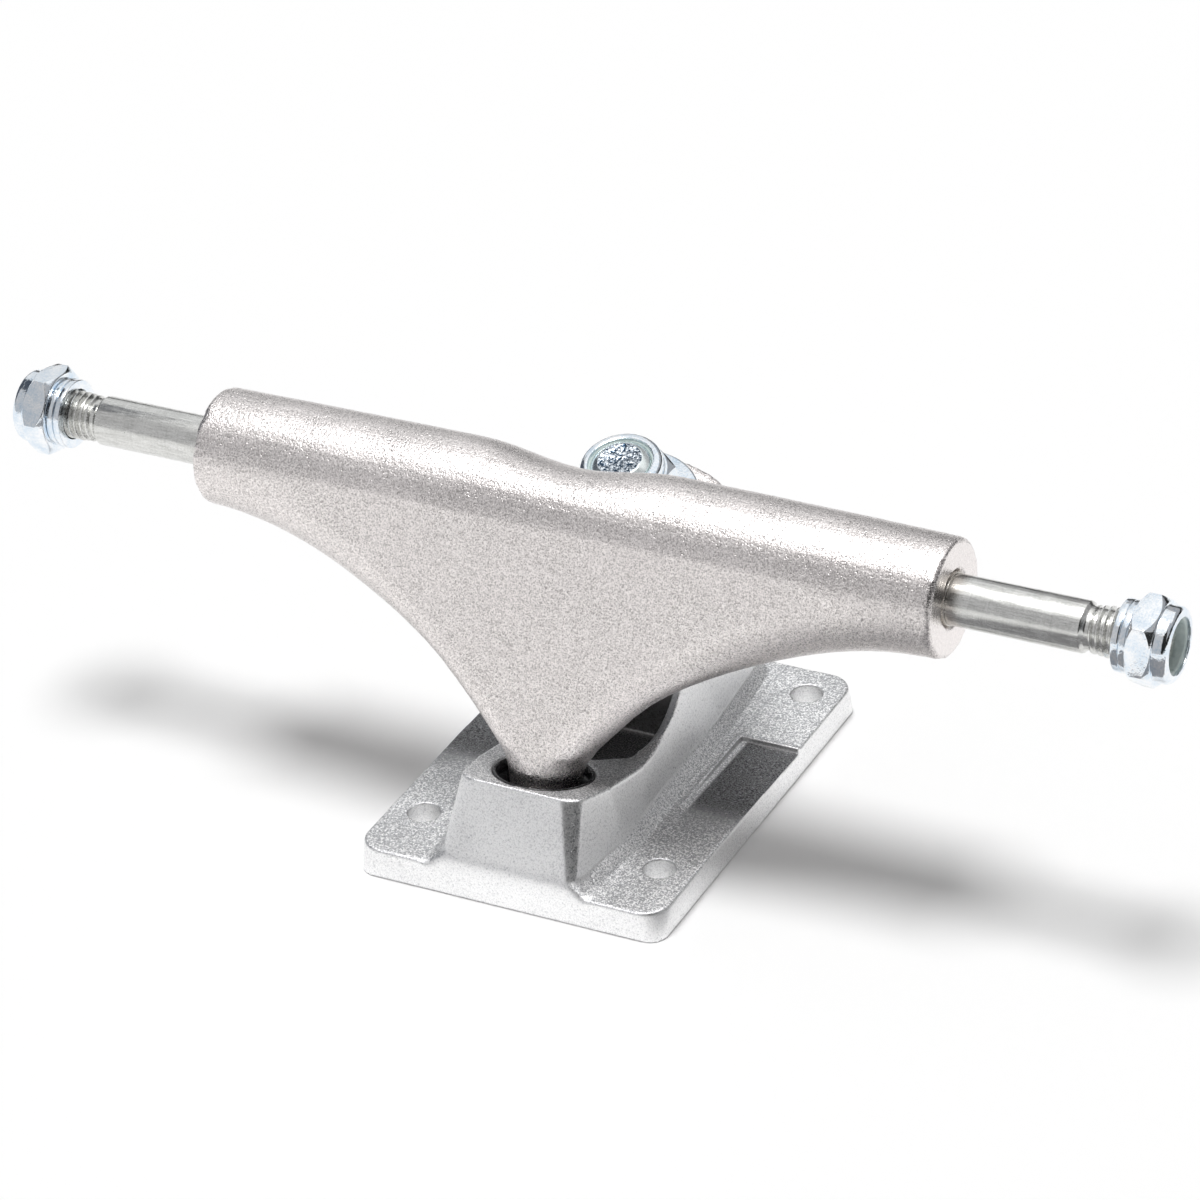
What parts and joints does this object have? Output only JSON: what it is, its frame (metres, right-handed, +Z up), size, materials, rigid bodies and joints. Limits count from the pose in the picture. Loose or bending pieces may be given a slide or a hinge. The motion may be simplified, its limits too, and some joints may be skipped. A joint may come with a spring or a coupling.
{
  "type": "skateboard truck",
  "caption": "Skateboard truck: a cast hanger with a through axle steers on a kingpin, two bushings and a pivot cup above a flat drilled baseplate.",
  "frame": {"origin": "centre of the four deck bolt holes, on the face that meets the deck", "axes": "+X along the axle to the right, +Y along the board from the pivot towards the kingpin, +Z up away from the deck"},
  "size_m": [0.1972, 0.0733, 0.0639],
  "materials": {
    "cast_hanger": "raw cast, shot blasted, fine sparkling grain",
    "cast_baseplate": "raw cast, fine sand grain",
    "axle_steel": "ground, faint turning marks",
    "zinc_plated_steel": "bright zinc plate",
    "black_urethane": "smooth, slightly glossy",
    "pale_nylon": "smooth, translucent look"
  },
  "bodies": {
    "baseplate": {"baseplate": "cast_baseplate", "pivot_cup": "black_urethane", "kingpin": "zinc_plated_steel", "bottom_cup_washer": "zinc_plated_steel", "bottom_bushing": "black_urethane", "top_bushing": "black_urethane", "top_cup_washer": "zinc_plated_steel"},
    "hanger": {"hanger": "cast_hanger", "axle": "axle_steel"},
    "kingpin_nut": {"kingpin_nut": "zinc_plated_steel", "kingpin_nut_insert": "pale_nylon"},
    "left_nut": {"left_axle_nut": "zinc_plated_steel", "left_nut_insert": "pale_nylon"},
    "right_nut": {"right_axle_nut": "zinc_plated_steel", "right_nut_insert": "pale_nylon"},
    "left_washers": {"left_inner_speed_washer": "zinc_plated_steel", "left_outer_speed_washer": "zinc_plated_steel"},
    "right_washers": {"right_inner_speed_washer": "zinc_plated_steel", "right_outer_speed_washer": "zinc_plated_steel"}
  },
  "joints": [
    {"name": "hanger_steer", "type": "hinge", "parent": "baseplate", "child": "hanger", "pos_m": [0, -0.0258, 0.011], "axis": [0, 0.8334, 0.5527], "range_deg": [-15, 15], "stiffness_Nm_per_rad": 25, "deforming": ["bottom_bushing", "top_bushing"]},
    {"name": "kingpin_nut_turn", "type": "hinge", "parent": "baseplate", "child": "kingpin_nut", "pos_m": [0, 0.0169, 0.0208], "axis": [0, -0.2924, 0.9563], "continuous": true},
    {"name": "left_nut_off", "type": "slide", "parent": "hanger", "child": "left_nut", "axis": [-1, 0, 0], "range_m": [0, 0.06]},
    {"name": "right_nut_off", "type": "slide", "parent": "hanger", "child": "right_nut", "axis": [1, 0, 0], "range_m": [0, 0.06]},
    {"name": "left_washers_slide", "type": "slide", "parent": "left_nut", "child": "left_washers", "axis": [1, 0, 0], "range_m": [0, 0.0266]},
    {"name": "right_washers_slide", "type": "slide", "parent": "right_nut", "child": "right_washers", "axis": [-1, 0, 0], "range_m": [0, 0.0266]}
  ]
}
